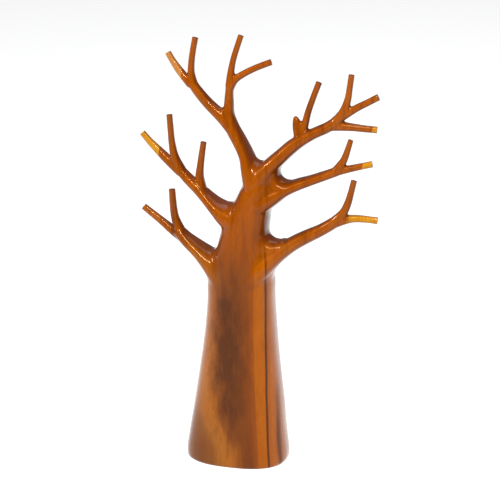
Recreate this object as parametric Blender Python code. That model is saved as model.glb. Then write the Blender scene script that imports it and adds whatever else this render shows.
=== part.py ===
"""A carved wooden tree: one trunk block, with wing boards glued to both sides of its crown.

The maker glues the wings to the block, saws the tree's outline out of the blank and rounds it over.
Sawing leaves the block in one piece and each wing board as the separate bits of the limbs that cross it.
Units are metres. The tree stands on z = 0, faces -y, and its origin is the middle of the foot.
"""
import math

import bmesh
import bpy
from mathutils import Vector

MM = 0.001

# Overall sizes. The paper pattern below is stretched to these two.
TREE_HEIGHT = 450 * MM
CROWN_WIDTH = 247 * MM
PATTERN_HEIGHT = 450
PATTERN_WIDTH = 247

# Trunk width and depth at the foot, the waist, the heart of the crown, its fork and the cleft above.
FOOT_SIZE = (109 * MM, 80 * MM)
WAIST_SIZE = (69 * MM, 65 * MM)
HEART_SIZE = (47 * MM, 53 * MM)
FORK_SIZE = (32 * MM, 45 * MM)
CLEFT_SIZE = (14 * MM, 26 * MM)
TRUNK_SQUARENESS = 2.7

# Thickness of the twigs, and depth of the crown where the limbs leave it. The limbs keep to both.
TWIG_WIDTH = 6 * MM
CROWN_DEPTH = 48 * MM
PATTERN_TWIG = 6
PATTERN_DEPTH = 48
LIMB_SQUARENESS = 2.7
TWIG_SQUARENESS = 2.3

# The glue joints.
GLUE_GAP = 0.3 * MM

# How finely the surface is followed.
CARVING_GRID = 1.6 * MM
SANDING_PASSES = 4
SURFACE_TRIANGLES = 9000
STATION_STEP = 3 * MM
LIMB_SIDES = 20
TRUNK_SIDES = 64
SAW_OVERRUN = 3 * MM

# Trunk sections on the pattern: across, up, back, and size as 0 foot, 1 waist, 2 heart, 3 fork, 4 cleft.
TRUNK = [
    (-3, -12, 10, 0), (-3, 0, 10, 0), (-2.2, 30, 9.5, 0.15), (-0.9, 60, 9, 0.34), (0.2, 100, 8, 0.6),
    (1.4, 140, 7, 0.84), (2.2, 175, 6, 1), (2.5, 195, 5, 1.02), (3.2, 210, 4, 1.12), (5.4, 229, 2.6, 1.6),
    (7.6, 249, 1.4, 2), (14, 272, 0.6, 2.5), (21, 294, 0, 2.95), (24.3, 306, 0, 3.3), (25.3, 314, 0, 4),
]
WAIST_Z = 180

# Limbs on the pattern, from the root outwards: across, up, half width and half depth, in millimetres.
LIMBS = {
    "lower_left": [
        (-2, 186, 17, 26), (-16, 202, 15, 24), (-29, 214, 12.6, 21.5), (-41, 225, 8.5, 17),
        (-54, 236.6, 6.3, 12), (-64, 247, 5.1, 8.2)],
    "middle_left": [
        (10, 258, 14, 24), (-8, 265.5, 12.2, 22), (-22, 274.4, 7.1, 17.5), (-32, 283.2, 5.6, 13.3),
        (-41, 291.7, 5.3, 10.3), (-52, 301.2, 4.8, 8.2), (-62, 311.3, 4.5, 6.7)],
    "upper_left": [
        (18, 298, 10, 22), (13.2, 315, 7.8, 20), (8.8, 330, 5.9, 16.4), (2, 343.5, 6.1, 12.8),
        (-5.3, 356.5, 6.3, 10.2), (-9, 370, 5.1, 7.8), (-9, 382, 4.5, 6), (-8.8, 391, 3.9, 5.3),
        (-7.8, 400, 3.8, 4.8)],
    "upper_left_outer": [
        (-2, 351.5, 5.7, 11), (-15.4, 366.4, 5.5, 8.8), (-30.4, 380, 4.8, 7.2), (-42.4, 393.4, 4.5, 6.2),
        (-48.2, 402, 4, 5.3)],
    "upper_right": [
        (20, 302, 11, 22), (33.5, 319.7, 8.4, 19.4), (45.5, 331.7, 7.3, 15.8), (55.5, 341.2, 6.8, 12.8),
        (66, 349, 6, 10.7), (78, 356, 5.2, 9.2), (90, 362, 5.1, 8.2), (99, 368, 5, 7.2)],
    "middle_right": [
        (24, 282, 12, 24), (38, 290.2, 8.8, 20.4), (50, 297.4, 6.4, 16.4), (62, 303, 5.5, 13.3),
        (75, 308, 4.8, 10.7), (90, 314.1, 4.5, 8.7), (101, 318.7, 4.4, 6.7)],
    "lower_right": [
        (12, 202, 17, 27), (30, 218.6, 11.5, 24), (43, 230.2, 8.7, 19), (56, 240.2, 7.3, 13.8),
        (70, 248.8, 6.6, 10.7), (85, 256.9, 5.9, 8.7), (98, 265.3, 5.7, 7.2)],
}

# Twigs on the pattern, from the fork to the sawn tip, and how far each leans back at its tip.
TWIGS = {
    "low_left_reach": (3, [(-58, 238.8, 5.2), (-70, 245.8, 4.6), (-82, 254.3, 3.9), (-101.5, 268, 3.3)]),
    "low_left_rise": (-2, [(-61.4, 246, 4.8), (-66.1, 258, 4.1), (-68, 270, 3.7), (-69.2, 289.6, 3.2)]),
    "mid_left_reach": (3, [(-60, 307.8, 4.6), (-74, 319.8, 4.5), (-85, 329.6, 4), (-94, 337.8, 3.4),
                           (-101.4, 345.6, 3)]),
    "mid_left_rise": (-2, [(-59.5, 310, 4.3), (-66, 323, 4), (-68.8, 338, 3.2), (-69.9, 352, 3),
                           (-70.8, 366.8, 2.9)]),
    "mid_left_inner": (-2, [(-37.5, 290, 4.8), (-40, 304, 4.1), (-39, 316, 3.4), (-37.1, 329, 3.1),
                            (-35.2, 340.6, 2.9)]),
    "top_left_reach": (2.5, [(-48, 398, 3.9), (-59.4, 410.4, 3.6), (-67.3, 420.5, 3.1), (-72.8, 429, 2.9)]),
    "top_left_rise": (-2, [(-46, 400, 3.8), (-47.8, 410, 3.3), (-47.3, 421, 3), (-45.5, 433, 2.9),
                           (-42.9, 445.6, 2.9)]),
    "top_middle_rise": (-1, [(-8.4, 398, 3.8), (-7.3, 410, 3.3), (-5.4, 421, 2.9), (-2.4, 432, 2.8),
                             (3.5, 449.4, 2.7)]),
    "top_middle_reach": (1, [(-8, 396, 3.6), (-3, 405, 3.4), (6.4, 411.8, 3.1), (19.2, 418.4, 3),
                             (33.5, 424.3, 3)]),
    "high_right_rise": (-1, [(63.8, 350, 4.4), (68.2, 363, 3.6), (71.7, 377, 3.1), (76.8, 392, 2.9),
                             (82.3, 406.8, 2.9)]),
    "far_right_rise": (-2, [(98, 367.5, 4.6), (106.3, 378, 4.2), (110.9, 390.5, 3.3), (112.9, 403, 2.9),
                            (114.6, 416, 2.8)]),
    "far_right_branch": (1, [(98, 369, 4.3), (110, 377, 3.9), (120, 383.4, 3.4), (130, 388.9, 3.2),
                             (140.8, 395, 3.2)]),
    "far_right_reach": (2, [(94, 364.3, 4.6), (106, 364.4, 4.2), (118, 363.8, 3.5), (130, 362.9, 3.2),
                            (140.3, 362.4, 3.2)]),
    "mid_right_rise": (-1, [(99.6, 318.5, 4.3), (107.8, 330, 3.5), (111.8, 341, 2.9), (114.8, 351.3, 2.5)]),
    "mid_right_reach": (1.5, [(99, 317.8, 3.9), (112, 321.6, 3.4), (125, 325.1, 3.1), (136.3, 328.1, 3.1)]),
    "low_right_rise": (-2, [(99, 266.5, 5.3), (108.2, 276.6, 4.2), (113, 287, 3.6), (116.3, 299, 3.1),
                            (119, 310.7, 2.9)]),
    "low_right_reach": (1.5, [(97, 264.6, 4.9), (110, 269.6, 4.2), (120, 271.6, 3.6), (132, 271.6, 3.3),
                              (143.1, 270.9, 3.2)]),
}

# The pointed stub of a twig that broke off short.
STUB = [(63, 350, 4.8), (61, 360, 4.4), (60.1, 366, 3.8), (59.3, 370, 2.6), (58.8, 372.4, 1.5)]

# The scooped wood that lines each round crotch: the opening's middle and radius on the pattern, then
# the turn in degrees, half width and half depth of the wood along it.
CROTCHES = {
    "left_low": ((-29.3, 242.2, 14.5), [(248, 3.5, 11), (280, 8, 16), (315, 9, 17), (350, 4, 15)]),
    "left_high": ((-13.3, 298.8, 20.2), [(243, 3.5, 10), (272, 7, 15), (310, 8, 16), (352, 4, 14)]),
    "top": ((25.5, 333, 9.2), [(195, 4, 11), (235, 8, 14.5), (270, 11, 15.5), (300, 8, 14.5), (335, 4, 11)]),
    "right_high": (
        (50.6, 313.8, 7.4), [(160, 4, 13), (200, 6, 15), (240, 8, 16), (275, 6, 15), (300, 4, 12)]),
    "right_low": ((41, 255.4, 11.3), [(165, 4, 15), (200, 7, 17), (240, 10, 18), (275, 7, 16), (305, 4, 12)]),
}

# Where the joins of limbs and trunk are sanded softer: across, up, how far round, and the passes.
SOFTENED = [
    (-28, 228, 24, 10), (-11, 280, 24, 10), (26, 322, 26, 20), (48, 304, 20, 9), (38, 242, 22, 10),
    (-34, 204, 20, 16), (40, 208, 20, 16), (24, 300, 20, 12),
]

# Glue seams on the pattern: across at the waist's height, lean per unit of height, and the lowest and
# highest points of the wing board beyond.
SEAMS = {
    "left_outer": (-83.5, 0.01, 200, 400),
    "left_inner": (-57, 0, 200, 500),
    "right_inner": (68, 0.133, 200, 500),
    "right_outer": (91, 0.245, 200, 378),
}

# Each board's sides, as seams with the way to their waste, and the bits it is sawn into, each with a
# point of the pattern inside it.
BOARDS = {
    "block": ([("left_inner", -1), ("right_inner", 1)], {"trunk_block": (0, 200)}),
    "left_inner_board": ([("left_inner", 1), ("left_outer", -1)], {
        "top_left_tip": (-66, 420), "middle_left_arm": (-68, 322), "lower_left_arm": (-68, 252)}),
    "left_outer_board": ([("left_outer", 1)], {"middle_left_tip": (-93, 338), "lower_left_tip": (-93, 262)}),
    "right_inner_board": ([("right_inner", -1), ("right_outer", 1)], {
        "upper_right_arm": (108, 372), "middle_right_arm": (104, 322), "lower_right_arm": (102, 272)}),
    "right_outer_board": ([("right_outer", -1)], {
        "upper_right_tip": (137, 363), "middle_right_tip": (131, 327), "lower_right_tip": (130, 272)}),
}

# Colour and roughness of each board's lacquered wood.
WOODS = {
    "block": ((0.36, 0.13, 0.035), 0.3),
    "left_inner_board": ((0.33, 0.11, 0.03), 0.3),
    "left_outer_board": ((0.55, 0.27, 0.06), 0.3),
    "right_inner_board": ((0.31, 0.10, 0.03), 0.3),
    "right_outer_board": ((0.60, 0.29, 0.05), 0.3),
}


def on_tree(across, up, back=0.0):
    """A point of the paper pattern, in millimetres, as a place on the tree from its foot's middle."""
    across -= TRUNK[1][0]
    back -= TRUNK[1][2]
    return Vector((across * CROWN_WIDTH / PATTERN_WIDTH, back * MM, up * TREE_HEIGHT / PATTERN_HEIGHT))


def between(values, share):
    """A Catmull-Rom curve through values, share running from 0 to 1 over each step of the list."""
    step = min(int(share), len(values) - 2)
    t = share - step
    before, first, last, after = (values[max(0, min(len(values) - 1, step + k))] for k in (-1, 0, 1, 2))
    return 0.5 * ((2 * first) + (last - before) * t + (2 * before - 5 * first + 4 * last - after) * t ** 2
                  + (3 * first - before - 3 * last + after) * t ** 3)


def ring(mesh, centre, across, half_width, half_depth, squareness, sides):
    """A closed rounded-square loop of edges round centre, square to the limb."""
    corners = bmesh.ops.create_circle(mesh, segments=sides, radius=1)["verts"]
    edges = list(dict.fromkeys(edge for corner in corners for edge in corner.link_edges))
    for corner in corners:
        wide, deep = (math.copysign(abs(x) ** (2 / squareness), x) for x in corner.co.xy)
        corner.co = centre + across * wide * half_width + Vector((0, deep * half_depth, 0))
    return edges


def loft(mesh, stations, squareness, sides):
    """Skins a closed limb through stations of centre, half width and half depth."""
    rings = []
    for k, (centre, half_width, half_depth) in enumerate(stations):
        ahead = stations[min(k + 1, len(stations) - 1)][0] - stations[max(k - 1, 0)][0]
        across = Vector((ahead.z, 0, -ahead.x)).normalized()
        rings.append(ring(mesh, centre, across, half_width, half_depth, squareness, sides))
    for first, last in zip(rings, rings[1:]):
        bmesh.ops.bridge_loops(mesh, edges=first + last)
    for end in (rings[0], rings[-1]):
        bmesh.ops.contextual_create(mesh, geom=end)


def even_stations(centres, halves):
    """Evenly spaced stations of centre, half width and half depth along a curve."""
    length = sum((b - a).length for a, b in zip(centres, centres[1:]))
    steps = max(4, round(length / STATION_STEP))
    shares = [(len(centres) - 1) * k / steps for k in range(steps + 1)]
    return [(between(centres, share), *between(halves, share)) for share in shares]


def limb_stations(points):
    """Stations of a limb, its thickness and depth kept in step with the twigs and the crown."""
    thickness = TWIG_WIDTH / PATTERN_TWIG
    depth = CROWN_DEPTH / PATTERN_DEPTH
    halves = [Vector((wide * thickness, max(deep * depth, wide * thickness))) for _, _, wide, deep in points]
    return even_stations([on_tree(across, up) for across, up, _, _ in points], halves)


def twig_stations(points, lean=0.0, overrun=0.0):
    """Stations of a twig, a little deeper at its fork; overrun carries it on past its last point."""
    last = len(points) - 1
    centres = [on_tree(across, up, lean * k / last) for k, (across, up, _) in enumerate(points)]
    halves = []
    for k, (_, _, wide) in enumerate(points):
        half = wide * TWIG_WIDTH / PATTERN_TWIG
        halves.append(Vector((half, half * (1 + 0.5 * (1 - k / last) ** 2))))
    stations = even_stations(centres, halves)
    if overrun:
        tip, half_width, half_depth = stations[-1]
        onward = (tip - stations[-2][0]).normalized() * overrun
        stations.append((tip + onward, half_width, half_depth))
    return stations


def crotch_stations(opening, arc):
    """The wood that lines a round crotch, following the opening from one side to the other."""
    across, up, radius = opening
    middle = on_tree(across, up)
    steps = 5 * (len(arc) - 1)
    stations = []
    for k in range(steps + 1):
        turn, half_width, half_depth = between([Vector(stop) for stop in arc], (len(arc) - 1) * k / steps)
        outward = Vector((math.cos(math.radians(turn)), 0, math.sin(math.radians(turn))))
        centre = middle + outward * (radius + half_width) * MM
        stations.append((centre, half_width * MM, half_depth * CROWN_DEPTH / PATTERN_DEPTH))
    return stations


def trunk_stations():
    """Sections of the trunk from just under the foot up into the crown."""
    sizes = [Vector(size) / 2 for size in (FOOT_SIZE, WAIST_SIZE, HEART_SIZE, FORK_SIZE, CLEFT_SIZE)]
    centres = [on_tree(*section[:3]) for section in TRUNK]
    halves = []
    for *_, size in TRUNK:
        lower = min(int(size), len(sizes) - 2)
        halves.append(sizes[lower].lerp(sizes[lower + 1], size - lower))
    return even_stations(centres, halves)[::2] + [(centres[-1], *halves[-1])]


def cut(mesh, geometry, point, facing):
    """Saws off what lies in front of a plane, within geometry, and closes the cut."""
    made = bmesh.ops.bisect_plane(mesh, geom=geometry, plane_co=point, plane_no=facing, clear_outer=True,
                                  dist=1e-7)["geom_cut"]
    rim = [e for e in made if isinstance(e, bmesh.types.BMEdge) and e.is_valid and e.is_boundary]
    bmesh.ops.holes_fill(mesh, edges=rim, sides=0)


def around(mesh, wanted):
    """The parts of mesh whose vertices are wanted, with all that meets them."""
    inside = {v for v in mesh.verts if wanted(v)}
    faces = [f for f in mesh.faces if not inside.isdisjoint(f.verts)]
    edges = {e for f in faces for e in f.edges}
    verts = {v for f in faces for v in f.verts}
    return [v for v in mesh.verts if v in verts] + [e for e in mesh.edges if e in edges] + faces


def hanging_together(start, wanted):
    """The vertices that can be reached from start by way of wanted ones."""
    found = {start}
    edge = [start]
    while edge:
        edge = list({e.other_vert(v) for v in edge for e in v.link_edges if wanted(e.other_vert(v))} - found)
        found.update(edge)
    return found


def trim(mesh, point, facing, tip):
    """Saws the end off the twig that reaches out to tip, with a plane through point."""
    start = min(mesh.verts, key=lambda v: (v.co - tip).length)
    waste = hanging_together(start, lambda v: (v.co - point).dot(facing) > 0)
    cut(mesh, around(mesh, lambda v: v in waste), point, facing)


def soften(mesh):
    """Sands the joins of limbs and trunk, most at each join's middle and less and less away from it."""
    for across, up, reach, passes in SOFTENED:
        middle = on_tree(across, up)
        spans = [(math.hypot(v.co.x - middle.x, v.co.z - middle.z), v) for v in mesh.verts]
        for k in range(passes):
            still = reach * MM * (1 - 0.7 * k / passes)
            bmesh.ops.smooth_vert(mesh, verts=[v for span, v in spans if span < still], factor=0.5,
                                  use_axis_x=True, use_axis_y=True, use_axis_z=True)


def with_modifiers(mesh, settings):
    """The mesh after modifiers, given as their kind and settings, have worked on it."""
    helper = bpy.data.objects.new("helper", bpy.data.meshes.new("helper"))
    mesh.to_mesh(helper.data)
    mesh.free()
    bpy.context.collection.objects.link(helper)
    for kind, values in settings:
        modifier = helper.modifiers.new(kind, kind)
        for name, value in values.items():
            setattr(modifier, name, value)
    worked = bmesh.new()
    worked.from_mesh(helper.evaluated_get(bpy.context.evaluated_depsgraph_get()).data)
    bpy.data.objects.remove(helper)
    return worked


def carved_tree():
    """The limbs carved into one smooth body, trimmed flat at the foot and at each twig's tip."""
    mesh = bmesh.new()
    loft(mesh, trunk_stations(), TRUNK_SQUARENESS, TRUNK_SIDES)
    for points in LIMBS.values():
        loft(mesh, limb_stations(points), LIMB_SQUARENESS, LIMB_SIDES)
    for lean, points in TWIGS.values():
        loft(mesh, twig_stations(points, lean, SAW_OVERRUN), TWIG_SQUARENESS, LIMB_SIDES)
    loft(mesh, twig_stations(STUB), TWIG_SQUARENESS, LIMB_SIDES)
    for opening, arc in CROTCHES.values():
        loft(mesh, crotch_stations(opening, arc), TWIG_SQUARENESS, LIMB_SIDES)
    bmesh.ops.recalc_face_normals(mesh, faces=mesh.faces)
    mesh = with_modifiers(mesh, [("REMESH", {"mode": "VOXEL", "voxel_size": CARVING_GRID}),
                                 ("SMOOTH", {"factor": 0.5, "iterations": SANDING_PASSES})])
    soften(mesh)
    fine = len(mesh.faces) * 2
    mesh = with_modifiers(mesh, [("DECIMATE", {"ratio": min(1, SURFACE_TRIANGLES / fine)})])
    for lean, points in TWIGS.values():
        before, tip, beyond = (place for place, _, _ in twig_stations(points, lean, SAW_OVERRUN)[-3:])
        trim(mesh, tip, (tip - before).normalized(), beyond)
    cut(mesh, around(mesh, lambda v: v.co.z < WAIST_Z * MM), Vector((0, 0, 0)), Vector((0, 0, -1)))
    bmesh.ops.triangulate(mesh, faces=[f for f in mesh.faces if len(f.verts) > 3])
    return mesh


def saw_board(carved, sides):
    """The wood between the glue seams in sides, as a new mesh."""
    mesh = carved.copy()
    for name, waste in sides:
        across, lean, low, high = SEAMS[name]
        point = on_tree(across, WAIST_Z)
        along = on_tree(across + lean, WAIST_Z + 1) - point
        facing = Vector((along.z, 0, -along.x)).normalized() * waste
        low, high = on_tree(0, low), on_tree(0, high)
        if waste * across < 0:
            cut(mesh, around(mesh, lambda v: True), low, Vector((0, 0, -1)))
            cut(mesh, around(mesh, lambda v: True), high, Vector((0, 0, 1)))
        cut(mesh, around(mesh, lambda v: low.z < v.co.z < high.z), point - facing * GLUE_GAP / 2, facing)
    bmesh.ops.triangulate(mesh, faces=[f for f in mesh.faces if len(f.verts) > 3])
    return mesh


def wood(name):
    """The board's lacquered wood."""
    colour, roughness = WOODS[name]
    material = bpy.data.materials.get(name) or bpy.data.materials.new(name)
    material.use_nodes = True
    shader = material.node_tree.nodes["Principled BSDF"]
    shader.inputs["Base Color"].default_value = (*colour, 1)
    shader.inputs["Roughness"].default_value = roughness
    shader.inputs["Metallic"].default_value = 0
    return material


def add_bits(mesh, board_name, bits):
    """Makes an object of each bit that the board was sawn into."""
    wanted = {name: on_tree(*place) for name, place in bits.items()}
    left = dict.fromkeys(mesh.verts)
    while left:
        verts = hanging_together(next(iter(left)), lambda v: True)
        left = dict.fromkeys(v for v in left if v not in verts)
        middle = sum((v.co for v in verts), Vector()) / len(verts)
        name = min(wanted, key=lambda n: (wanted[n] - middle).length)
        bit = bmesh.new()
        copies = {v: bit.verts.new(v.co) for v in mesh.verts if v in verts}
        for face in mesh.faces:
            if face.verts[0] in copies:
                bit.faces.new([copies[v] for v in face.verts])
        data = bpy.data.meshes.new(name)
        bit.to_mesh(data)
        bit.free()
        data.materials.append(wood(board_name))
        data.shade_smooth()
        data.set_sharp_from_angle(angle=math.radians(50))
        bpy.context.collection.objects.link(bpy.data.objects.new(name, data))
        del wanted[name]
    mesh.free()


def main():
    for obj in list(bpy.data.objects):
        bpy.data.objects.remove(obj)
    carved = carved_tree()
    for name, (sides, bits) in BOARDS.items():
        add_bits(saw_board(carved, sides), name, bits)
    carved.free()


main()
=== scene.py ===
import math

import bmesh
import bpy
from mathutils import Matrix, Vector


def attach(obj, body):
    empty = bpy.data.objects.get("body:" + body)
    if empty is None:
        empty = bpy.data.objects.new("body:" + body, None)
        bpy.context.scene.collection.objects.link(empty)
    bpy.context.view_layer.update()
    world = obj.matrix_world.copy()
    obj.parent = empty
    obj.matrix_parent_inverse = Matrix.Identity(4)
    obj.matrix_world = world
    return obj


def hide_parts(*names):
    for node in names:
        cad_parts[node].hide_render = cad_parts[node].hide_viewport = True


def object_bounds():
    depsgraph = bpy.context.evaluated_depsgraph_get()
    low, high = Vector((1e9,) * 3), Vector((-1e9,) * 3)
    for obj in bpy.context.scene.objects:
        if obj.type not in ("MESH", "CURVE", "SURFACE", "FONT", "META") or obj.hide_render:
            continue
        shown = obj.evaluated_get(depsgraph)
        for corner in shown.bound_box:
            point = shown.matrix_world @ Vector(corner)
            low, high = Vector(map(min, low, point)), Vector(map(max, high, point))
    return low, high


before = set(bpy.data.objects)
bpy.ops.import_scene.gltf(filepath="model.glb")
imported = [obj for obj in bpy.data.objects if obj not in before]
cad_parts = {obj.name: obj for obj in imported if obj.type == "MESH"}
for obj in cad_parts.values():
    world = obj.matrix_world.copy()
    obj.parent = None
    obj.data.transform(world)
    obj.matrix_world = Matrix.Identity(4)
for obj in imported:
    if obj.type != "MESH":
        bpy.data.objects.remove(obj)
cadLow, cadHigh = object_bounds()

# A tree carved from a glued-up blank: wing boards on both sides of one thick block, sawn to an outline,
# rounded over, sanded and lacquered. Each bit of wood is cut from one carved surface along the glue seams.
mm = 0.001

# The paper pattern that the blank was sawn to, in millimetres. It is stretched to the frame's box.
pattern = {
    "width": 246.85,
    "height": 450.2,
    "footMiddle": (-3, 10),      # the foot's middle, across and back from the crown's middle plane
}
acrossScale = (cadHigh[0] - cadLow[0]) / (pattern["width"] * mm)
upScale = cadHigh[2] / (pattern["height"] * mm)


def onTree(across, up, back=0.0):
    footAcross, footBack = pattern["footMiddle"]
    return Vector(((across - footAcross) * acrossScale, back - footBack, up * upScale)) * mm


trunk = {
    "corners": 96,
    "steps": 8,                  # from each section to the next
    "squareness": (2.5, 2.4),    # foot and crown
    # across, up, back, half width, half depth
    "sections": [
        (-3, -1.2, 10, 51.0, 36.6), (-3, 0, 10, 52.6, 38.2), (-3, 1.4, 10, 53.8, 39.3),
        (-3, 4, 10, 54.4, 39.8), (-2.8, 12, 9.8, 54.0, 39.6), (-2.2, 30, 9.5, 51.6, 38.4),
        (-0.9, 60, 9, 47.7, 37), (0.2, 100, 8, 42.3, 35.6), (1.4, 140, 7, 37.6, 34.3),
        (2, 175, 6, 34.8, 33), (2.3, 195, 5, 34.6, 32), (3.2, 210, 4, 33.2, 31),
        (5.4, 229, 2.6, 27.8, 29), (7.6, 249, 1.4, 23.9, 26.6), (14, 272, 0.6, 19.8, 24.8),
        (21, 294, 0, 16.4, 22.8), (24.3, 306, 0, 13, 20), (25.3, 314, 0, 7, 13),
    ],
}

# Limbs from root to fork: across, up, half width and half depth along them.
limbs = {
    "lowerLeft": [
        (-2, 186, 17, 26), (-15.5, 203, 13.5, 24), (-27.3, 215.8, 10.1, 21.5), (-39.8, 226.3, 7.2, 17),
        (-53.8, 236.9, 6.2, 12), (-64, 247, 5.4, 8.5)],
    "middleLeft": [
        (10, 258, 14, 24), (-8, 265.5, 12.2, 22), (-22, 274.4, 7.4, 17.5), (-32, 283.2, 5.9, 13.5),
        (-41, 291.7, 5.6, 10.5), (-52, 301.2, 5.1, 8.5), (-62, 311.3, 4.8, 7)],
    "upperLeft": [
        (18, 298, 10, 22), (13.2, 315, 8, 20), (8.8, 330, 6.2, 16.5), (2, 343.5, 6.4, 13),
        (-5.3, 356.5, 6.6, 10.5), (-9, 370, 5.4, 8), (-9, 382, 4.8, 6.3), (-8.8, 391, 4.2, 5.6),
        (-7.8, 400, 4.1, 5)],
    "upperLeftOuter": [
        (-2, 351.5, 6, 11), (-15.4, 366.4, 5.8, 9), (-30.4, 380, 5.1, 7.5), (-42.4, 393.4, 4.8, 6.5),
        (-48.2, 402, 4.3, 5.6)],
    "upperRight": [
        (20, 302, 11, 22), (33.5, 319.7, 8.6, 19.5), (45.5, 331.7, 7.6, 16), (55.5, 341.2, 7.1, 13),
        (66, 349, 6.3, 11), (78, 356, 5.5, 9.5), (90, 362, 5.4, 8.5), (99, 368, 5.3, 7.5)],
    "middleRight": [
        (24, 282, 12, 24), (38, 290.2, 9, 20.5), (50, 297.4, 6.7, 16.5), (62, 303, 5.8, 13.5),
        (75, 308, 5.1, 11), (90, 314.1, 4.8, 9), (101, 318.7, 4.7, 7)],
    "lowerRight": [
        (12, 202, 17, 27), (30, 218.6, 11.6, 24), (43, 230.2, 8.9, 19), (56, 240.2, 7.6, 14),
        (70, 248.8, 6.9, 11), (85, 256.9, 6.2, 9), (98, 265.3, 6, 7.5)],
}

# Twigs from fork to sawn tip: how far each leans back at its tip, then across, up and half width along it.
twigs = {
    "lowLeftReach": {"lean": 3, "line": [
        (-58, 238.8, 5.4), (-70, 245.8, 4.8), (-82, 254.3, 4.1), (-101.5, 268, 3.5)]},
    "lowLeftRise": {"lean": -2, "line": [
        (-61.4, 246, 5), (-66.1, 258, 4.3), (-68, 270, 3.9), (-69.2, 289.6, 3.5)]},
    "midLeftReach": {"lean": 3, "line": [
        (-60, 307.8, 4.8), (-74, 319.8, 4.7), (-85, 329.6, 4.2), (-94, 337.8, 3.6), (-101.4, 345.6, 3.3)]},
    "midLeftRise": {"lean": -2, "line": [
        (-59.5, 310, 4.5), (-66, 323, 4.2), (-68.8, 338, 3.5), (-69.9, 352, 3.3), (-70.8, 366.8, 3.2)]},
    "midLeftInner": {"lean": -2, "line": [
        (-37.5, 290, 5), (-40, 304, 4.4), (-39, 316, 3.7), (-37.1, 329, 3.4), (-35.2, 340.6, 3.2)]},
    "topLeftReach": {"lean": 2.5, "line": [
        (-48, 398, 4.2), (-59.4, 410.4, 3.9), (-67.3, 420.5, 3.4), (-72.8, 429, 3.2)]},
    "topLeftRise": {"lean": -2, "line": [
        (-46, 400, 4.1), (-47.8, 410, 3.6), (-47.3, 421, 3.3), (-45.5, 433, 3.2), (-42.9, 445.6, 3.2)]},
    "topMiddleRise": {"lean": -1, "line": [
        (-8.4, 398, 4.2), (-7.3, 410, 3.7), (-5.4, 421, 3.2), (-2.4, 432, 3.1), (3.5, 449.4, 3)]},
    "topMiddleReach": {"lean": 1, "line": [
        (-8, 396, 4), (-3, 405, 3.8), (6.4, 411.8, 3.5), (19.2, 418.4, 3.3), (33.5, 424.3, 3.3)]},
    "highRightRise": {"lean": -1, "line": [
        (63.8, 350, 4.7), (68.2, 363, 3.9), (71.7, 377, 3.4), (76.8, 392, 3.2), (82.3, 406.8, 3.2)]},
    "farRightRise": {"lean": -2, "line": [
        (98, 367.5, 4.9), (106.3, 378, 4.5), (110.9, 390.5, 3.6), (112.9, 403, 3.2), (114.6, 416, 3.1)]},
    "farRightBranch": {"lean": 1, "line": [
        (98, 369, 4.6), (110, 377, 4.2), (120, 383.4, 3.7), (130, 388.9, 3.5), (140.8, 395, 3.5)]},
    "farRightReach": {"lean": 2, "line": [
        (94, 364.3, 4.9), (106, 364.4, 4.5), (118, 363.8, 3.8), (130, 362.9, 3.5), (140.3, 362.4, 3.5)]},
    "midRightRise": {"lean": -1, "line": [
        (99.6, 318.5, 4.6), (107.8, 330, 3.8), (111.8, 341, 3.2), (114.8, 351.3, 2.8)]},
    "midRightReach": {"lean": 1.5, "line": [
        (99, 317.8, 4.2), (112, 321.6, 3.7), (125, 325.1, 3.4), (136.3, 328.1, 3.4)]},
    "lowRightRise": {"lean": -2, "line": [
        (99, 266.5, 5.6), (108.2, 276.6, 4.5), (113, 287, 3.9), (116.3, 299, 3.4), (119, 310.7, 3.2)]},
    "lowRightReach": {"lean": 1.5, "line": [
        (97, 264.6, 5.2), (110, 269.6, 4.5), (120, 271.6, 3.9), (132, 271.6, 3.6), (143.1, 270.9, 3.5)]},
}
# What is left of a twig that broke off
stub = {"lean": -1, "line": [
    (63, 350, 5), (61, 360, 4.7), (60.1, 366, 4.1), (59.3, 370, 2.8), (58.8, 372.4, 1.6)]}

# The scooped wood that lines each round crotch: the middle and radius of the round it was scooped to, then
# how far round, half width and half depth of the wood along it. The outer pair round off the corners
# between the trunk and the lowest limbs from below.
crotches = {
    "leftLow": {"round": (-29.3, 242.2, 14.5), "arc": [
        (248, 3.5, 11), (280, 8, 16), (315, 9, 17), (350, 4, 15)]},
    "leftHigh": {"round": (-13.3, 298.8, 20.2), "arc": [
        (243, 3.5, 10), (272, 7, 15), (310, 8, 16), (352, 4, 14)]},
    "top": {"round": (25.5, 333, 9.2), "arc": [
        (195, 4, 11), (235, 8, 14.5), (270, 11, 15.5), (300, 8, 14.5), (335, 4, 11)]},
    "rightHigh": {"round": (50.6, 313.8, 7.4), "arc": [
        (160, 4, 13), (200, 6, 15), (240, 8, 16), (275, 6, 15), (300, 4, 12)]},
    "leftOuter": {"round": (-76, 190, 45), "arc": [
        (-4, 4, 9), (12, 7, 15), (28, 8, 15), (44, 5, 10)]},
    "rightOuter": {"round": (71.6, 194.5, 36), "arc": [
        (184, 4, 9), (168, 7, 15), (150, 8, 16), (134, 5, 11)]},
    "rightLow": {"round": (41, 255.4, 11.3), "arc": [
        (165, 4, 15), (200, 7, 17), (240, 10, 18), (275, 7, 16), (305, 4, 12)]},
}

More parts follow.
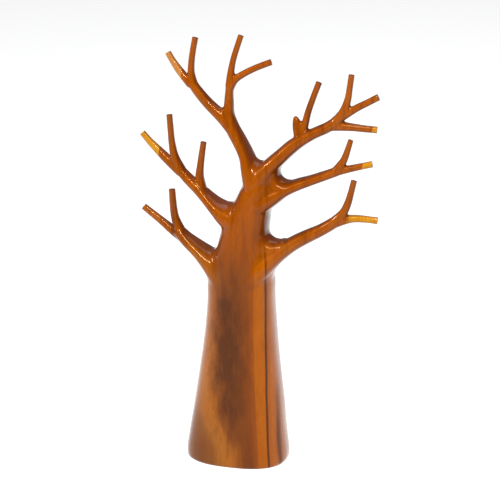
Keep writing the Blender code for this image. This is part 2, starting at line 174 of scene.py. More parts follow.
carving = {
    "step": 2,                   # between sections along a limb
    "arcSteps": 8,               # from each place on a crotch's arc to the next
    "corners": 28,               # round a limb
    "twigSwell": 0.5,            # a twig's root is this much deeper than wide
    "rootSquareness": 2.6,       # 2 is oval, and more is squarer
    "crotchSquareness": 2.3,
    "forkSquareness": 2.4,
    "twigSquareness": 2.2,
    "grid": 1.0,                 # how finely the surface is followed
    "sanding": 7,
    "roughGrid": 2.0,            # for the rounding over of the joins
    "rounding": 60,
    "overrun": 4,                # left past a twig's tip until it is sawn off
    "arris": 0.35,               # taken off the sawn tips' edges
    "footSaw": 10,               # only what lies below this can be sawn off the foot
    "clear": 0.05,               # kept inside the frame's box on each side
    "sharp": 50,                 # degrees past which an edge shows as an edge
}

# How the hollows are found: by smoothing a copy, and how deep a full hollow lies below it.
hollows = {"passes": 24, "depth": 0.9}

# Glue seams: across at height 180, lean, and the wing board's lowest and highest points.
seams = {
    "leftOuter": (-83.5, 0.01, 200, 400),
    "leftInner": (-57, 0, 200, 500),
    "rightInner": (68, 0.133, 200, 500),
    "rightOuter": (91, 0.245, 200, 378),
}
seamHeight = 180
glueLine = 0.08                  # mm of glue between two boards

# Each board: the seams it is sawn between, with the side its waste is on, and its bits of the tree.
boards = {
    "block": {"sides": [("leftInner", -1), ("rightInner", 1)], "bits": {"trunk_block": (0, 200)}},
    "left_inner_board": {"sides": [("leftInner", 1), ("leftOuter", -1)], "bits": {
        "top_left_tip": (-66, 420), "middle_left_arm": (-68, 322), "lower_left_arm": (-68, 252)}},
    "left_outer_board": {"sides": [("leftOuter", 1)], "bits": {
        "middle_left_tip": (-93, 338), "lower_left_tip": (-93, 262)}},
    "right_inner_board": {"sides": [("rightInner", -1), ("rightOuter", 1)], "bits": {
        "upper_right_arm": (112, 377), "middle_right_arm": (104, 322), "lower_right_arm": (102, 272)}},
    "right_outer_board": {"sides": [("rightOuter", -1)], "bits": {
        "upper_right_tip": (137, 363), "middle_right_tip": (131, 327), "lower_right_tip": (130, 272)}},
}


def curveThrough(values, share):                      # share runs from 0 to 1 over each step of the list
    step = min(int(share), len(values) - 2)
    t = share - step
    before, first, last, after = (values[max(0, min(len(values) - 1, step + k))] for k in (-1, 0, 1, 2))
    return 0.5 * ((2 * first) + (last - before) * t + (2 * before - 5 * first + 4 * last - after) * t ** 2
                  + (3 * first - before - 3 * last + after) * t ** 3)


def addRing(bm, middle, side, halfWidth, halfDepth, squareness, corners):
    ring = bmesh.ops.create_circle(bm, segments=corners, radius=1)["verts"]
    edges = list(dict.fromkeys(edge for corner in ring for edge in corner.link_edges))
    for corner in ring:
        wide, deep = (math.copysign(abs(x) ** (2 / squareness), x) for x in corner.co.xy)
        corner.co = middle + side * wide * halfWidth + Vector((0, deep * halfDepth, 0))
    return edges


def addLimb(bm, stations, corners):                   # station: middle, half width, half depth, squareness
    rings = []
    for k, (middle, halfWidth, halfDepth, squareness) in enumerate(stations):
        ahead = stations[min(k + 1, len(stations) - 1)][0] - stations[max(k - 1, 0)][0]
        side = Vector((ahead.z, 0, -ahead.x)).normalized()
        rings.append(addRing(bm, middle, side, halfWidth, halfDepth, squareness, corners))
    for first, last in zip(rings, rings[1:]):
        bmesh.ops.bridge_loops(bm, edges=first + last)
    for end in (rings[0], rings[-1]):
        bmesh.ops.contextual_create(bm, geom=end)


def stationsAlong(middles, halves, squarenesses, overrun=0.0):
    length = sum((b - a).length for a, b in zip(middles, middles[1:]))
    steps = max(4, round(length / (carving["step"] * mm)))
    stations = []
    for k in range(steps + 1):
        share = (len(middles) - 1) * k / steps
        squareness = squarenesses[0] + (squarenesses[1] - squarenesses[0]) * k / steps
        stations.append((curveThrough(middles, share), *curveThrough(halves, share), squareness))
    if overrun:
        last = stations[-1]
        onward = (last[0] - stations[-2][0]).normalized() * overrun * mm
        stations.append((last[0] + onward, *last[1:]))
    return stations


def limbStations(limb):
    middles = [onTree(across, up) for across, up, _, _ in limb]
    halves = [Vector((wide, deep)) * mm for _, _, wide, deep in limb]
    return stationsAlong(middles, halves, (carving["rootSquareness"], carving["forkSquareness"]))


def twigStations(twig, overrun=0.0):
    last = len(twig["line"]) - 1
    middles = [onTree(across, up, twig["lean"] * k / last) for k, (across, up, _) in enumerate(twig["line"])]
    halves = []
    for k, (_, _, wide) in enumerate(twig["line"]):
        halves.append(Vector((wide, wide * (1 + carving["twigSwell"] * (1 - k / last) ** 2))) * mm)
    return stationsAlong(middles, halves, (carving["forkSquareness"], carving["twigSquareness"]), overrun)


def crotchStations(crotch):
    across, up, radius = crotch["round"]
    arc = [Vector(stop) for stop in crotch["arc"]]
    steps = carving["arcSteps"] * (len(arc) - 1)
    stations = []
    for k in range(steps + 1):
        turn, halfWidth, halfDepth = curveThrough(arc, (len(arc) - 1) * k / steps)
        outward = Vector((math.cos(math.radians(turn)), 0, math.sin(math.radians(turn))))
        middle = onTree(across, up) + outward * (radius + halfWidth) * mm
        stations.append((middle, halfWidth * mm, halfDepth * mm, carving["crotchSquareness"]))
    return stations


def trunkStations():
    sections = trunk["sections"]
    middles = [onTree(across, up, back) for across, up, back, _, _ in sections]
    halves = [Vector((wide, deep)) * mm for _, _, _, wide, deep in sections]
    steps = trunk["steps"] * (len(sections) - 1)
    stations = []
    for k in range(steps + 1):
        share = (len(sections) - 1) * k / steps
        foot, crown = trunk["squareness"]
        squareness = foot + (crown - foot) * k / steps
        stations.append((curveThrough(middles, share), *curveThrough(halves, share), squareness))
    return stations


def sawOff(bm, geometry, point, facing):              # what lies in front of the plane goes
    cut = bmesh.ops.bisect_plane(bm, geom=geometry, plane_co=point, plane_no=facing, dist=1e-7,
                                 clear_outer=True)
    edges = [e for e in cut["geom_cut"] if isinstance(e, bmesh.types.BMEdge)]
    rim = [e for e in edges if e.is_valid and e.is_boundary]
    bmesh.ops.holes_fill(bm, edges=rim, sides=0)
    return rim


def around(bm, wanted=None):                          # the wanted corners and all that meets them
    if wanted is None:
        return bm.verts[:] + bm.edges[:] + bm.faces[:]
    faces = {f for v in bm.verts if wanted(v) for f in v.link_faces}
    edges = {e for f in faces for e in f.edges}
    verts = {v for f in faces for v in f.verts}
    found = [v for v in bm.verts if v in verts]
    return found + [e for e in bm.edges if e in edges] + [f for f in bm.faces if f in faces]


def hangingTogether(start, wanted):                   # the wanted corners that edges join to the first
    found = {start}
    newest = found
    while newest:
        beside = {e.other_vert(v) for v in newest for e in v.link_edges}
        newest = {v for v in beside - found if wanted(v)}
        found |= newest
    return found


def sawTip(bm, twig):
    before, tip, beyond = (station[0] for station in twigStations(twig, carving["overrun"])[-3:])
    facing = (tip - before).normalized()
    start = min(bm.verts, key=lambda v: (v.co - beyond).length)
    waste = hangingTogether(start, lambda v: (v.co - tip).dot(facing) > 0)
    rim = sawOff(bm, around(bm, lambda v: v in waste), tip, facing)
    bmesh.ops.bevel(bm, geom=rim, offset=carving["arris"] * mm, segments=2, profile=0.5, affect="EDGES",
                    material=-1, clamp_overlap=True)


def worked(bm, grid, passes):                         # recut on an even grid, then sanded
    body = bpy.data.objects.new("body", bpy.data.meshes.new("body"))
    bm.to_mesh(body.data)
    bpy.context.collection.objects.link(body)
    recut = body.modifiers.new("recut", "REMESH")
    recut.mode = "VOXEL"
    recut.voxel_size = grid * mm
    sand = body.modifiers.new("sand", "SMOOTH")
    sand.factor = 0.5
    sand.iterations = passes
    result = bpy.data.meshes.new_from_object(body.evaluated_get(bpy.context.evaluated_depsgraph_get()))
    bpy.data.objects.remove(body)
    return result


# Two values that the colour reads: how far each corner lies below the wood around it, for the stain pooled in
# the hollows and the painted shade there, and how far it turns away from the board's face, for the painted
# shade on the crown's sides. The face is read early in the smoothing, where its normals are even.
def markForm(bm):
    hollow = bm.verts.layers.float.new("hollow")
    edge = bm.verts.layers.float.new("edge")
    rounded = bm.copy()
    for k in range(hollows["passes"]):
        bmesh.ops.smooth_vert(rounded, verts=rounded.verts, factor=0.5,
                              use_axis_x=True, use_axis_y=True, use_axis_z=True)
        if k == hollows["passes"] // 4:
            rounded.normal_update()
    for corner, filled in zip(bm.verts, rounded.verts):
        corner[hollow] = (filled.co - corner.co).dot(corner.normal) / mm / hollows["depth"]
        corner[edge] = 1 - abs(filled.normal.y)
    rounded.free()


def fitFrame(bm):                                     # to the frame's box, a hair inside it
    low, high = (Vector([pick(v.co[axis] for v in bm.verts) for axis in range(3)]) for pick in (min, max))
    wantedLow, wantedHigh = Vector(cadLow), Vector(cadHigh)
    clear = Vector((1, 1, 1)) * 2 * carving["clear"] * mm
    room = wantedHigh - wantedLow - clear
    scale = Vector([room[axis] / (high - low)[axis] for axis in range(3)])
    bmesh.ops.scale(bm, vec=scale, verts=bm.verts)
    shift = (wantedLow + wantedHigh) / 2 - (low + high) / 2 * scale
    shift.z = -low.z * scale.z
    bmesh.ops.translate(bm, vec=shift, verts=bm.verts)


def carveTree():
    bm = bmesh.new()
    addLimb(bm, trunkStations(), trunk["corners"])
    for limb in limbs.values():
        addLimb(bm, limbStations(limb), carving["corners"])
    for crotch in crotches.values():
        addLimb(bm, crotchStations(crotch), carving["corners"])
    bmesh.ops.recalc_face_normals(bm, faces=bm.faces)
    bm.from_mesh(worked(bm, carving["roughGrid"], carving["rounding"]))      # a soft round fills the joins
    for twig in twigs.values():
        addLimb(bm, twigStations(twig, carving["overrun"]), carving["corners"])
    addLimb(bm, twigStations(stub), carving["corners"])
    bmesh.ops.recalc_face_normals(bm, faces=bm.faces)
    carved = worked(bm, carving["grid"], carving["sanding"])
    bm.clear()
    bm.from_mesh(carved)
    for twig in twigs.values():
        sawTip(bm, twig)
    sawOff(bm, around(bm, lambda v: v.co.z < carving["footSaw"] * mm), Vector((0, 0, 0)), Vector((0, 0, -1)))
    fitFrame(bm)
    bm.normal_update()
    markForm(bm)
    return bm


def cutBoard(carved, sides):
    bm = carved.copy()
    for name, waste in sides:
        across, lean, low, high = seams[name]
        point = onTree(across, seamHeight)
        along = onTree(across + lean, seamHeight + 1) - point
        facing = Vector((along.z, 0, -along.x)).normalized() * waste
        low, high = onTree(0, low), onTree(0, high)
        if waste * across < 0:                        # a wing board ends where its seam does
            sawOff(bm, around(bm), low, Vector((0, 0, -1)))
            sawOff(bm, around(bm), high, Vector((0, 0, 1)))
        sawOff(bm, around(bm, lambda v: low.z < v.co.z < high.z), point - facing * glueLine * mm / 2, facing)
    return bm


def makeBits(bm, bits, material):
    places = {node: onTree(*place) for node, place in bits.items()}
    taken = set()
    for first in bm.verts:
        if first in taken:
            continue
        together = hangingTogether(first, lambda v: True)
        taken |= together
        verts = [v for v in bm.verts if v in together]
        middle = sum((v.co for v in verts), Vector()) / len(verts)
        node = min(places, key=lambda n: (places[n] - middle).length)
        bit = bm.copy()
        bit.verts.ensure_lookup_table()
        kept = {v.index for v in verts}
        bmesh.ops.delete(bit, geom=[v for v in bit.verts if v.index not in kept], context="VERTS")
        mesh = bpy.data.meshes.new(node + "_wood")
        bit.to_mesh(mesh)
        bit.free()
        mesh.materials.append(material)
        mesh.shade_smooth()
        mesh.set_sharp_from_angle(angle=math.radians(carving["sharp"]))
        piece = bpy.data.objects.new(node + "_wood", mesh)
        bpy.context.collection.objects.link(piece)
        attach(piece, "root")
        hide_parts(node)
        del places[node]
    bm.free()


def linear(hexColour):                                # sRGB hex to linear
    channels = [int(hexColour[k:k + 2], 16) / 255 for k in (1, 3, 5)]
    return (*(c / 12.92 if c <= 0.04045 else ((c + 0.055) / 1.055) ** 2.4 for c in channels), 1)


# A numbered socket counts from the top: 1 to 4 of a Map Range are its two ends in and its two ends out, and 6
# and 7 of a Mix are its two colours.
def addNode(tree, kind, settings=None, links=None):
    node = tree.nodes.new(kind)
    for name, value in (settings or {}).items():
        if isinstance(name, int) or name in node.inputs:
            node.inputs[name].default_value = value
        else:
            setattr(node, name, value)
    for name, socket in (links or {}).items():
        tree.links.new(socket, node.inputs[name])
    return node


def newMaterial(name):
    material = bpy.data.materials.new(name)
    material.use_nodes = True
    return material, material.node_tree, material.node_tree.nodes["Principled BSDF"]


def setRamp(node, stops):                             # a stop is a place, and a colour or a grey
    elements = node.color_ramp.elements
    while len(elements) > len(stops):
        elements.remove(elements[-1])
    while len(elements) < len(stops):
        elements.new(1.0)
    for element, (position, colour) in zip(elements, stops):
        element.position = position
        element.color = linear(colour) if isinstance(colour, str) else (colour, colour, colour, 1)


# Lacquered tropical cedar: orange-brown, straight-grained wood under a clear brushed coat, which gives deep
# colour and thin wet highlights. For each board: its two tones, how many mm apart its growth layers are, how
# it was turned when sawn, and where its paler sapwood lies (across, up, reach, tone).
woods = {
    "block": {"light": "#904602", "dark": "#783802", "layer": 11.0, "turn": 20},
    "left_inner_board": {"light": "#8a4406", "dark": "#682f04", "layer": 6.0, "turn": 35,
                         "sap": (-62, 418, 22, "#b0763a")},
    "left_outer_board": {"light": "#9a5210", "dark": "#7c3e0a", "layer": 2.2, "turn": -15,
                         "sap": (-92, 338, 22, "#b8801e")},
    "right_inner_board": {"light": "#944a08", "dark": "#783804", "layer": 8.0, "turn": -25},
    "right_outer_board": {"light": "#c08416", "dark": "#9c6010", "layer": 2.0, "turn": 10},
}

# Grain that all the boards share, with the stain and painted shade in the hollows and the painted shade on
# the crown's edges.
# A size is 1 over mm across, back and up. A shade multiplies the wood's tone and a tone replaces it, at most
# by the share beside it.
grainLook = {
    "wanderSize": (1 / 34, 1 / 34, 1 / 150),
    "wander": 9.0,                       # mm that the grain strays at most
    "layerLean": -0.02,                  # across for each mm up
    "layerDrift": (0.02, 0.02, 0.006),   # how slowly the layers change along the board
    "layerStops": (0.32, 0.46, 0.55, 0.68),    # dark, light, light, dark
    "fibreSize": (1.1, 1.1, 0.022),      # 0.9 mm streaks, coarser than the real 0.1 mm ones so that they show
    "fibreShade": ((0.55, 0.42, 0.3, 1), 0.42),
    "poreSize": (2.2, 2.2, 0.3),         # short dark dashes, 3 mm long
    "poreShade": ((0.3, 0.2, 0.15, 1), 0.35),
    "cloudSize": (1 / 16, 1 / 16, 1 / 40),
    "cloudShade": ((0.6, 0.45, 0.3, 1), 0.3),
    "hollowStainAndShade": ("#3a1604", 0.75),     # stain pooled in the hollows and forks, with painted shade there
    "edgePaintedShade": ((0.42, 0.3, 0.22, 1), 0.7),    # painted shade: the crown darker where its wood turns away from the board's face
    "edgeHeight": (195, 235),            # between these heights the painted edge shade begins
}

lacquer = {
    "roughness": (0.18, 0.3),            # of the wood under the coat, between and on the fibres
    "tint": (1, 0.45, 0.1, 1),           # the amber stain under the clear coat
    "sheen": 0.22,                       # low, because the coat covers it
    "woodIor": 1.5,
    "coatIor": 1.2,                      # under a real coat's 1.5, to keep the wood's depth of colour
    "coatRoughness": 0.03,
    "waveSize": (1 / 9, 1 / 9, 1 / 22),  # brushed on, so it lies in slow waves
    "waveBump": (0.2, 0.0006),           # strength, and metres deep
    "fibreBump": (0.25, 0.0001),
}


def lacqueredWood(slot, look):
    material, tree, shader = newMaterial("lacquered cedar, " + slot.replace("_", " "))
    place = addNode(tree, "ShaderNodeTexCoord").outputs["Object"]
    inMm = addNode(tree, "ShaderNodeMapping", {"Scale": (1000, 1000, 1000)}, {"Vector": place}).outputs[0]
    height = addNode(tree, "ShaderNodeSeparateXYZ", {}, {0: inMm}).outputs[2]

    # the grain strays slowly from straight
    slow = addNode(tree, "ShaderNodeMapping", {"Scale": grainLook["wanderSize"]}, {"Vector": inMm}).outputs[0]
    wander = addNode(tree, "ShaderNodeTexNoise", {"Scale": 1.0, "Detail": 2.0, "Roughness": 0.5},
                     {"Vector": slow}).outputs["Color"]
    centred = addNode(tree, "ShaderNodeVectorMath", {"operation": "SUBTRACT", 1: (0.5, 0.5, 0.5)},
                      {0: wander}).outputs[0]
    pushed = addNode(tree, "ShaderNodeVectorMath", {"operation": "SCALE", "Scale": grainLook["wander"]},
                     {0: centred}).outputs[0]
    grain = addNode(tree, "ShaderNodeVectorMath", {"operation": "ADD"}, {0: inMm, 1: pushed}).outputs[0]

    # growth layers: soft light and dark, drawn by noise that changes only across the layers
    turn = math.radians(look["turn"])
    acrossLayers = (math.cos(turn), math.sin(turn), grainLook["layerLean"])
    across = addNode(tree, "ShaderNodeVectorMath", {"operation": "DOT_PRODUCT", 1: acrossLayers},
                     {0: grain}).outputs["Value"]
    layered = addNode(tree, "ShaderNodeMath", {"operation": "DIVIDE", 1: look["layer"]},
                      {0: across}).outputs[0]
    drift = addNode(tree, "ShaderNodeMapping", {"Scale": grainLook["layerDrift"]},
                    {"Vector": inMm}).outputs[0]
    drifts = addNode(tree, "ShaderNodeSeparateXYZ", {}, {0: drift}).outputs
    layerPlace = addNode(tree, "ShaderNodeCombineXYZ", {},
                         {0: layered, 1: drifts[1], 2: drifts[2]}).outputs[0]
    layers = addNode(tree, "ShaderNodeTexNoise", {"Scale": 1.0, "Detail": 4.0, "Roughness": 0.6},
                     {"Vector": layerPlace}).outputs["Fac"]
    layerRamp = addNode(tree, "ShaderNodeValToRGB", {}, {0: layers})
    tones = (look["dark"], look["light"], look["light"], look["dark"])
    setRamp(layerRamp, list(zip(grainLook["layerStops"], tones)))
    colour = layerRamp.outputs[0]

    if "sap" in look:                                 # paler sapwood towards the board's outer corner
        sapAcross, sapUp, sapReach, sapTone = look["sap"]
        sapMiddle = onTree(sapAcross, sapUp) / mm
        away = addNode(tree, "ShaderNodeVectorMath", {"operation": "DISTANCE", 1: sapMiddle},
                       {0: grain}).outputs["Value"]
        sap = addNode(tree, "ShaderNodeMapRange", {1: sapReach * 0.8, 2: sapReach * 1.2, 3: 0.9, 4: 0.0},
                      {0: away}).outputs[0]
        colour = addNode(tree, "ShaderNodeMix", {"data_type": "RGBA", 7: linear(sapTone)},
                         {0: sap, 6: colour}).outputs[2]
    if slot == "block":
        colour = trunkFigure(tree, grain, height, colour)

    fibrePlace = addNode(tree, "ShaderNodeMapping", {"Scale": grainLook["fibreSize"]},
                         {"Vector": grain}).outputs[0]
    fibres = addNode(tree, "ShaderNodeTexNoise", {"Scale": 1.0, "Detail": 3.0, "Roughness": 0.65},
                     {"Vector": fibrePlace}).outputs["Fac"]
    shade, most = grainLook["fibreShade"]
    amount = addNode(tree, "ShaderNodeMapRange", {1: 0.35, 2: 0.7, 3: 0.0, 4: most}, {0: fibres}).outputs[0]
    colour = addNode(tree, "ShaderNodeMix", {"data_type": "RGBA", "blend_type": "MULTIPLY", 7: shade},
                     {0: amount, 6: colour}).outputs[2]

    cloudPlace = addNode(tree, "ShaderNodeMapping", {"Scale": grainLook["cloudSize"]},
                         {"Vector": inMm}).outputs[0]
    clouds = addNode(tree, "ShaderNodeTexNoise", {"Scale": 1.0, "Detail": 3.0},
                     {"Vector": cloudPlace}).outputs["Fac"]
    shade, most = grainLook["cloudShade"]
    amount = addNode(tree, "ShaderNodeMapRange", {1: 0.35, 2: 0.65, 3: 0.0, 4: most}, {0: clouds}).outputs[0]
    colour = addNode(tree, "ShaderNodeMix", {"data_type": "RGBA", "blend_type": "MULTIPLY", 7: shade},
                     {0: amount, 6: colour}).outputs[2]

    porePlace = addNode(tree, "ShaderNodeMapping", {"Scale": grainLook["poreSize"]},
                        {"Vector": grain}).outputs[0]
    pores = addNode(tree, "ShaderNodeTexNoise", {"Scale": 1.0, "Detail": 1.0},
                    {"Vector": porePlace}).outputs["Fac"]
    shade, most = grainLook["poreShade"]
    amount = addNode(tree, "ShaderNodeMapRange", {1: 0.62, 2: 0.72, 3: 0.0, 4: most}, {0: pores}).outputs[0]
    colour = addNode(tree, "ShaderNodeMix", {"data_type": "RGBA", "blend_type": "MULTIPLY", 7: shade},
                     {0: amount, 6: colour}).outputs[2]

    # stain pooled in the hollows and forks, and painted shade there: darker where the wood lies below the
    # wood around it
    hollow = addNode(tree, "ShaderNodeAttribute", {"attribute_name": "hollow"}).outputs["Fac"]
    tone, most = grainLook["hollowStainAndShade"]
    hollowStainAndShadeAmount = addNode(tree, "ShaderNodeMapRange", {1: 0.0, 2: 1.0, 3: 0.0, 4: most}, {0: hollow}).outputs[0]
    colour = addNode(tree, "ShaderNodeMix", {"data_type": "RGBA", 7: linear(tone)},
                     {0: hollowStainAndShadeAmount, 6: colour}).outputs[2]

    # painted shade: the crown's wood darker where it turns away from the board's face, on its sides, tops and
    # undersides
    edge = addNode(tree, "ShaderNodeAttribute", {"attribute_name": "edge"}).outputs["Fac"]
    shade, most = grainLook["edgePaintedShade"]
    turned = addNode(tree, "ShaderNodeMapRange", {1: 0.12, 2: 0.75, 3: 0.0, 4: most}, {0: edge}).outputs[0]
    begins, full = grainLook["edgeHeight"]
    inCrown = addNode(tree, "ShaderNodeMapRange", {1: begins, 2: full, 3: 0.0, 4: 1.0},
                      {0: height}).outputs[0]
    paintedEdgeShadeAmount = addNode(tree, "ShaderNodeMath", {"operation": "MULTIPLY"}, {0: turned, 1: inCrown}).outputs[0]
    colour = addNode(tree, "ShaderNodeMix", {"data_type": "RGBA", "blend_type": "MULTIPLY", 7: shade},
                     {0: paintedEdgeShadeAmount, 6: colour}).outputs[2]
    tree.links.new(colour, shader.inputs["Base Color"])

    # the coat's own waves, with the fibres showing faintly through
    smooth, rough = lacquer["roughness"]
    roughness = addNode(tree, "ShaderNodeMapRange", {1: 0.3, 2: 0.7, 3: smooth, 4: rough},
                        {0: fibres}).outputs[0]
    tree.links.new(roughness, shader.inputs["Roughness"])
    wavePlace = addNode(tree, "ShaderNodeMapping", {"Scale": lacquer["waveSize"]},
                        {"Vector": inMm}).outputs[0]
    waves = addNode(tree, "ShaderNodeTexNoise", {"Scale": 1.0, "Detail": 2.0},
                    {"Vector": wavePlace}).outputs["Fac"]
    strength, deep = lacquer["waveBump"]
    waveBump = addNode(tree, "ShaderNodeBump", {"Strength": strength, "Distance": deep},
                       {"Height": waves}).outputs[0]
    strength, deep = lacquer["fibreBump"]
    fibreBump = addNode(tree, "ShaderNodeBump", {"Strength": strength, "Distance": deep},
                        {"Height": fibres, "Normal": waveBump}).outputs[0]
    tree.links.new(fibreBump, shader.inputs["Normal"])
    tree.links.new(waveBump, shader.inputs["Coat Normal"])
    shader.inputs["IOR"].default_value = lacquer["woodIor"]
    shader.inputs["Specular IOR Level"].default_value = lacquer["sheen"]
    shader.inputs["Specular Tint"].default_value = lacquer["tint"]
    shader.inputs["Coat Weight"].default_value = 1.0
    shader.inputs["Coat Roughness"].default_value = lacquer["coatRoughness"]
    shader.inputs["Coat IOR"].default_value = lacquer["coatIor"]
    return material


# The figure of the block's trunk: upright bands of heart and sap wood, given from left to right at the foot,
# then what crosses them. Places are in mm.
figure = {
    "bands": [
        (-62, "#6e3a12"), (-50, "#7c4616"), (-42, "#985a1c"), (-30, "#a05c18"), (-22, "#884810"),
        (-13, "#72380a"), (4, "#6c3408"), (13, "#7a3a08"), (18.7, "#8c4404"), (20.2, "#a45400"),
        (30.6, "#ac5a00"), (31.8, "#3c1a04"), (32.8, "#52280a"), (34.2, "#a0541a"), (39, "#b0601c"),
        (46, "#a2541a"), (56, "#a86426")],
    "firstBand": -65,
    "lastBand": 60,
    "lean": 0.032,                       # of the bands, across for each mm up
    "backLean": 0.35,                    # and for each mm back
    "runOut": (18, 62, -20.0),           # between these heights the left half runs out, this far at the foot
    "runOutEnds": (0, 16),               # the bands where that dies away
    "streak": [(42, 0.0), (44.5, 0.9), (46.5, 0.8), (49, 0.0)],    # a dark one, strongest at the foot
    "streakTone": "#3c1c08",
    "streakHeight": (45, 110, 0.9),      # where it fades and is gone, and its strength
    "heartPlace": (0.12, 1.0, -1.75),    # in the blotch's own sizes
    "heartSize": (1 / 15, 1 / 42, 1 / 72),
    "heartRagged": (1 / 9, 1 / 9, 1 / 24),
    "heartTone": "#4a220a",
    "crown": (205, 252),                 # between these heights plain wood takes over
}


def trunkFigure(tree, grain, height, crownColour):
    spot = addNode(tree, "ShaderNodeSeparateXYZ", {}, {0: grain}).outputs
    lean = addNode(tree, "ShaderNodeMath", {"operation": "MULTIPLY", 1: figure["lean"]},
                   {0: spot[2]}).outputs[0]
    backLean = addNode(tree, "ShaderNodeMath", {"operation": "MULTIPLY", 1: figure["backLean"]},
                       {0: spot[1]}).outputs[0]
    leaning = addNode(tree, "ShaderNodeMath", {"operation": "ADD"}, {0: spot[0], 1: lean}).outputs[0]
    upright = addNode(tree, "ShaderNodeMath", {"operation": "ADD"}, {0: leaning, 1: backLean}).outputs[0]
    # low down the left half's bands run out to the side, so paler wood shows at the foot's middle
    fullOut, begins, reach = figure["runOut"]
    low = addNode(tree, "ShaderNodeMapRange", {1: fullOut, 2: begins, 3: reach, 4: 0.0},
                  {0: spot[2]}).outputs[0]
    inner, outer = figure["runOutEnds"]
    leftHalf = addNode(tree, "ShaderNodeMapRange", {1: inner, 2: outer, 3: 1.0, 4: 0.0},
                       {0: upright}).outputs[0]
    runOut = addNode(tree, "ShaderNodeMath", {"operation": "MULTIPLY"}, {0: low, 1: leftHalf}).outputs[0]
    banded = addNode(tree, "ShaderNodeMath", {"operation": "ADD"}, {0: upright, 1: runOut}).outputs[0]
    first, last = figure["firstBand"], figure["lastBand"]
    share = addNode(tree, "ShaderNodeMapRange", {1: first, 2: last, 3: 0.0, 4: 1.0}, {0: banded}).outputs[0]
    bands = addNode(tree, "ShaderNodeValToRGB", {}, {0: share})
    setRamp(bands, [((across - first) / (last - first), tone) for across, tone in figure["bands"]])

    streak = addNode(tree, "ShaderNodeValToRGB", {}, {0: share})
    setRamp(streak, [((across - first) / (last - first), dark) for across, dark in figure["streak"]])
    fades, gone, strength = figure["streakHeight"]
    rise = addNode(tree, "ShaderNodeMapRange", {1: fades, 2: gone, 3: strength, 4: 0.0},
                   {0: spot[2]}).outputs[0]
    streaked = addNode(tree, "ShaderNodeMath", {"operation": "MULTIPLY"},
                       {0: streak.outputs[0], 1: rise}).outputs[0]
    colour = addNode(tree, "ShaderNodeMix", {"data_type": "RGBA", 7: linear(figure["streakTone"])},
                     {0: streaked, 6: bands.outputs[0]}).outputs[2]

    # the dark heart: a long ragged blotch on the front, 28 mm wide
    heartPlace = addNode(tree, "ShaderNodeMapping",
                         {"Location": figure["heartPlace"], "Scale": figure["heartSize"]},
                         {"Vector": grain}).outputs[0]
    far = addNode(tree, "ShaderNodeVectorMath", {"operation": "LENGTH"}, {0: heartPlace}).outputs["Value"]
    raggedPlace = addNode(tree, "ShaderNodeMapping", {"Scale": figure["heartRagged"]},
                          {"Vector": grain}).outputs[0]
    ragged = addNode(tree, "ShaderNodeTexNoise", {"Scale": 1.0, "Detail": 4.0, "Roughness": 0.6},
                     {"Vector": raggedPlace}).outputs["Fac"]
    uneven = addNode(tree, "ShaderNodeMath", {"operation": "MULTIPLY_ADD", 1: 2.2, 2: -1.1},
                     {0: ragged}).outputs[0]
    total = addNode(tree, "ShaderNodeMath", {"operation": "ADD"}, {0: far, 1: uneven}).outputs[0]
    heart = addNode(tree, "ShaderNodeMapRange", {1: 0.45, 2: 1.6, 3: 0.95, 4: 0.0}, {0: total}).outputs[0]
    colour = addNode(tree, "ShaderNodeMix", {"data_type": "RGBA", 7: linear(figure["heartTone"])},
                     {0: heart, 6: colour}).outputs[2]

    trunkEnds, crownBegins = figure["crown"]
    crown = addNode(tree, "ShaderNodeMapRange", {1: trunkEnds, 2: crownBegins, 3: 0.0, 4: 1.0},
                    {0: height}).outputs[0]
    return addNode(tree, "ShaderNodeMix", {"data_type": "RGBA"},
                   {0: crown, 6: colour, 7: crownColour}).outputs[2]


carved = carveTree()
print("carved", len(carved.verts), "corners")
for slot, board in boards.items():
    makeBits(cutBoard(carved, board["sides"]), board["bits"], lacqueredWood(slot, woods[slot]))
carved.free()
print("cut into boards")

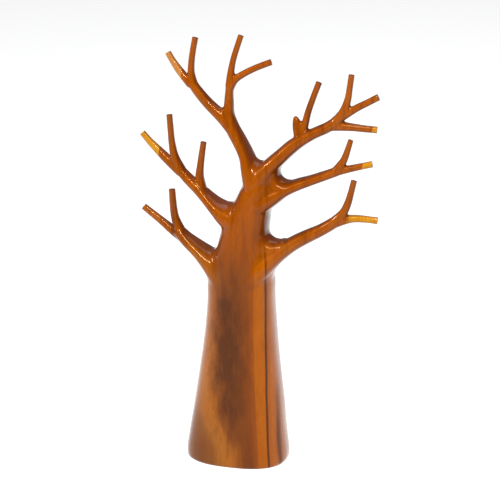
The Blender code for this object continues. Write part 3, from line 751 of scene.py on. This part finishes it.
# A sheet of matt white paper, lit a little from below so that it stays white and shows no edge.
paperLook = {"half": 15, "tone": "#b4b4b4", "roughness": 0.9, "glow": 0.78}
sheet = bmesh.new()
bmesh.ops.create_grid(sheet, x_segments=1, y_segments=1, size=paperLook["half"])
sheetMesh = bpy.data.meshes.new("floor")
sheet.to_mesh(sheetMesh)
sheet.free()
paper, _, paperShader = newMaterial("matt white paper")
paperShader.inputs["Base Color"].default_value = linear(paperLook["tone"])
paperShader.inputs["Roughness"].default_value = paperLook["roughness"]
paperShader.inputs["Emission Color"].default_value = linear("#ffffff")
paperShader.inputs["Emission Strength"].default_value = paperLook["glow"]
sheetMesh.materials.append(paper)
floor = bpy.data.objects.new("floor", sheetMesh)
bpy.context.collection.objects.link(floor)
print("paper laid")

# Two narrow strips draw the highlights, and a broad one behind lights the paper.
# place, aim, width, height, watts
lights = {
    "topStrip": ((0.25, -0.88, 1.48), (0, 0, 0.25), 1.2, 0.08, 32),
    "leftStrip": ((-1.1, -0.62, 1.26), (0, 0, 0.25), 0.7, 0.09, 15),
    "overhead": ((0, 1.6, 2.6), (0, 1.6, 0), 3.0, 2.0, 26),
}
for name, (spot, aim, width, height, watts) in lights.items():
    lamp = bpy.data.lights.new(name, "AREA")
    lamp.shape = "RECTANGLE"
    lamp.size = width
    lamp.size_y = height
    lamp.energy = watts
    light = bpy.data.objects.new(name, lamp)
    light.location = spot
    light.rotation_euler = (Vector(aim) - Vector(spot)).to_track_quat("-Z", "Y").to_euler()
    bpy.context.collection.objects.link(light)

room = {"tone": "#eef1f5", "strength": 0.14}
world = bpy.data.worlds.new("room")
bpy.context.scene.world = world
world.use_nodes = True
background = world.node_tree.nodes["Background"]
background.inputs["Color"].default_value = linear(room["tone"])
background.inputs["Strength"].default_value = room["strength"]

# degrees, metres, mm of lens, and the aim across and up the pattern
view = {"azimuth": 15, "elevation": 17, "distance": 1.6, "lens": 113.35, "aim": (12.6, 230.7)}
lens = bpy.data.cameras.new("camera")
lens.lens = view["lens"]
camera = bpy.data.objects.new("camera", lens)
turn, rise = math.radians(view["azimuth"]), math.radians(view["elevation"])
back = Vector((math.sin(turn) * math.cos(rise), -math.cos(turn) * math.cos(rise), math.sin(rise)))
camera.location = onTree(*view["aim"]) + back * view["distance"]
camera.rotation_euler = back.to_track_quat("Z", "Y").to_euler()
bpy.context.collection.objects.link(camera)
bpy.context.scene.camera = camera
bpy.context.scene.view_settings.view_transform = "Standard"
print("lit and framed")
